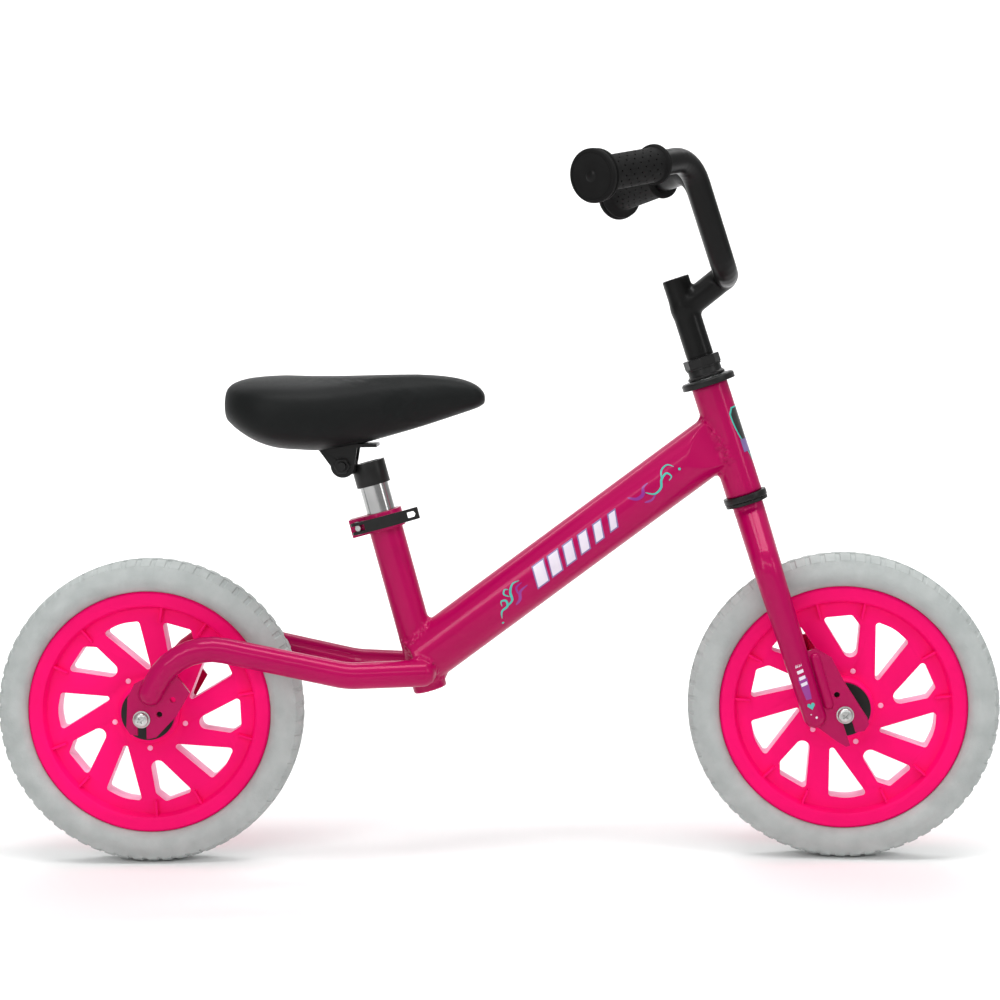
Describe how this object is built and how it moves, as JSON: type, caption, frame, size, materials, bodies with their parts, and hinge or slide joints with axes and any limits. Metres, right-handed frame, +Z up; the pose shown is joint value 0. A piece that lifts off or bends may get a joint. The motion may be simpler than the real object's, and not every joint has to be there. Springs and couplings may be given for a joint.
{
  "type": "balance bike",
  "caption": "Child's balance bike with no pedals: steel frame and fork, moulded spoked wheels with foam tyres, padded saddle on a clamped post, and a swept bar with flanged grips.",
  "frame": {"origin": "on the floor, on the mid-plane, midway between the two axles", "axes": "+X the way the bike rides, +Y to the rider's left, +Z up"},
  "size_m": [0.938, 0.4608, 0.6658],
  "materials": {
    "frame_paint": "raspberry metallic gloss paint",
    "black_steel": "satin black coating",
    "bar_paint": "gloss black paint",
    "bright_steel": "bright zinc plate",
    "post_chrome": "chrome plate",
    "wheel_plastic": "moulded bright pink nylon, satin",
    "tyre_foam": "pale grey foam, slightly mottled, matt",
    "black_plastic": "black moulded plastic",
    "grip_rubber": "black soft rubber",
    "saddle_skin": "black grained synthetic leather",
    "saddle_base": "black moulded plastic"
  },
  "bodies": {
    "frame": {"head_tube": "frame_paint", "down_tube": "frame_paint", "seat_tube": "frame_paint", "right_stay": "frame_paint", "left_stay": "frame_paint", "right_rear_dropout": "frame_paint", "left_rear_dropout": "frame_paint", "upper_cup": "black_steel", "lower_cup": "black_steel", "seat_collar": "frame_paint", "clamp_skewer": "bright_steel", "clamp_nut": "bright_steel", "lever_pin": "bright_steel", "rear_axle": "bright_steel", "rear_spacers": "bright_steel", "rear_washers": "bright_steel", "rear_axle_bolts": "bright_steel"},
    "fork": {"steerer_tube": "bright_steel", "fork_crown": "frame_paint", "right_fork_leg": "frame_paint", "left_fork_leg": "frame_paint", "right_fork_dropout": "frame_paint", "left_fork_dropout": "frame_paint", "crown_race": "black_steel", "lower_ball_ring": "bright_steel", "upper_ball_ring": "bright_steel", "adjusting_race": "black_steel", "lock_washer": "black_steel", "headset_locknut": "black_steel", "front_axle": "bright_steel", "front_spacers": "bright_steel", "front_washers": "bright_steel", "front_axle_bolts": "bright_steel"},
    "bars": {"stem_quill": "bar_paint", "stem_extension": "bar_paint", "stem_bolt": "black_steel", "expander_wedge": "bright_steel", "handlebar": "bar_paint", "right_grip": "grip_rubber", "left_grip": "grip_rubber"},
    "front_wheel_set": {"front_wheel": "wheel_plastic", "front_tyre": "tyre_foam", "front_hub_covers": "black_plastic", "front_hub_bearings": "bright_steel"},
    "rear_wheel_set": {"rear_wheel": "wheel_plastic", "rear_tyre": "tyre_foam", "rear_hub_covers": "black_plastic", "rear_hub_bearings": "bright_steel"},
    "post": {"seat_post": "post_chrome", "saddle_clamp": "black_steel", "clamp_washers": "black_steel", "saddle_clamp_bolt": "black_steel", "saddle_clamp_nuts": "black_steel"},
    "saddle": {"saddle_bracket": "black_steel", "saddle_shell": "saddle_base", "saddle_cover": "saddle_skin"},
    "release_lever": {"release_lever": "black_plastic"}
  },
  "joints": [
    {"name": "steering", "type": "hinge", "parent": "frame", "child": "fork", "pos_m": [0.2343, 0, 0.343], "axis": [-0.3007, 0, 0.9537], "continuous": true},
    {"name": "bar_height", "type": "slide", "parent": "fork", "child": "bars", "axis": [-0.3007, 0, 0.9537], "range_m": [0, 0.026]},
    {"name": "front_wheel_spin", "type": "hinge", "parent": "fork", "child": "front_wheel_set", "pos_m": [0.32495, -0.00233, 0.14395], "axis": [0.0831, 0.9962, 0.0262], "continuous": true},
    {"name": "rear_wheel_spin", "type": "hinge", "parent": "frame", "child": "rear_wheel_set", "pos_m": [-0.325, 0, 0.144], "axis": [0, 1, 0], "continuous": true},
    {"name": "seat_height", "type": "slide", "parent": "frame", "child": "post", "axis": [-0.2504, 0, 0.9681], "range_m": [-0.022, 0.075]},
    {"name": "saddle_tilt", "type": "hinge", "parent": "post", "child": "saddle", "pos_m": [-0.13828, 0, 0.37397], "axis": [0, 1, 0], "range_deg": [-15, 15]},
    {"name": "release_lever_swing", "type": "hinge", "parent": "frame", "child": "release_lever", "pos_m": [-0.12474, -0.0175, 0.31601], "axis": [0.2504, 0, -0.9681], "range_deg": [0, 150]}
  ]
}
